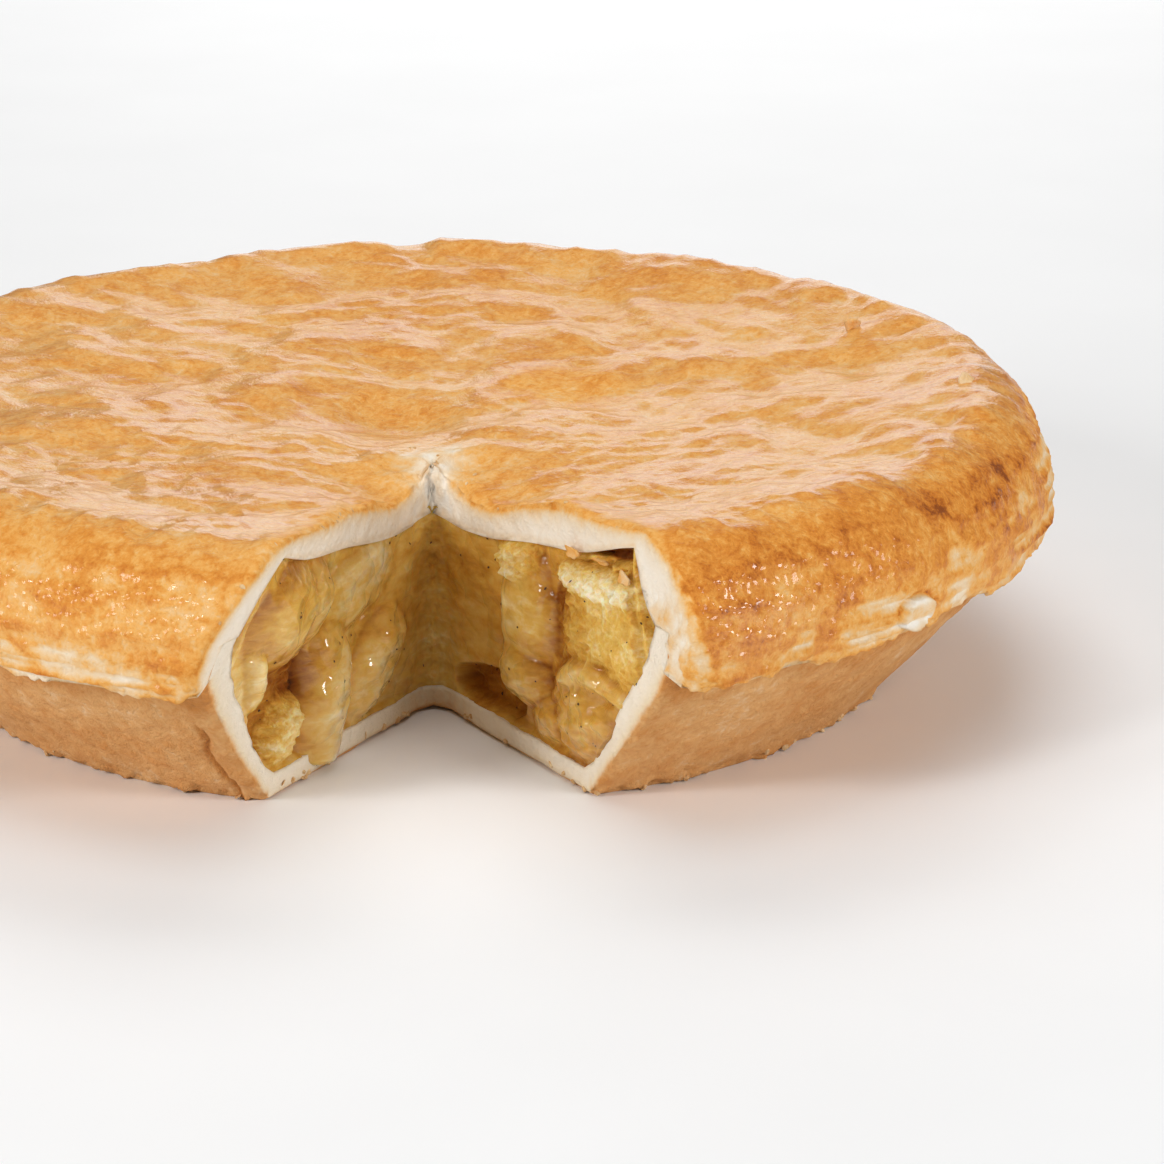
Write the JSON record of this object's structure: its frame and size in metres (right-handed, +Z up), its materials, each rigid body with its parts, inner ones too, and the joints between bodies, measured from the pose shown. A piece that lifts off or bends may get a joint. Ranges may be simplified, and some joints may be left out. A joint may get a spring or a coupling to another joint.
{
  "type": "apple pie",
  "caption": "Round double-crust fruit pie with a glazed lid folded over a flared bottom crust, and one slice cut out to show the fruit in syrup.",
  "frame": {"origin": "centre of the flat round base, on the surface that the pie stands on", "axes": "+Z up through the lid; the cut-out slice opens towards -Y; +X to the right as seen from the cut"},
  "size_m": [0.2408, 0.2411, 0.0552],
  "materials": {
    "bottom_crust": "dry golden baked shortcrust, cream-white where cut",
    "filling": "soft cooked fruit wet with amber syrup",
    "top_crust": "golden brown baked pastry under a clear sugar glaze"
  },
  "bodies": {
    "root": {"bottom_crust": "bottom_crust", "filling": "filling", "top_crust": "top_crust"}
  },
  "joints": []
}
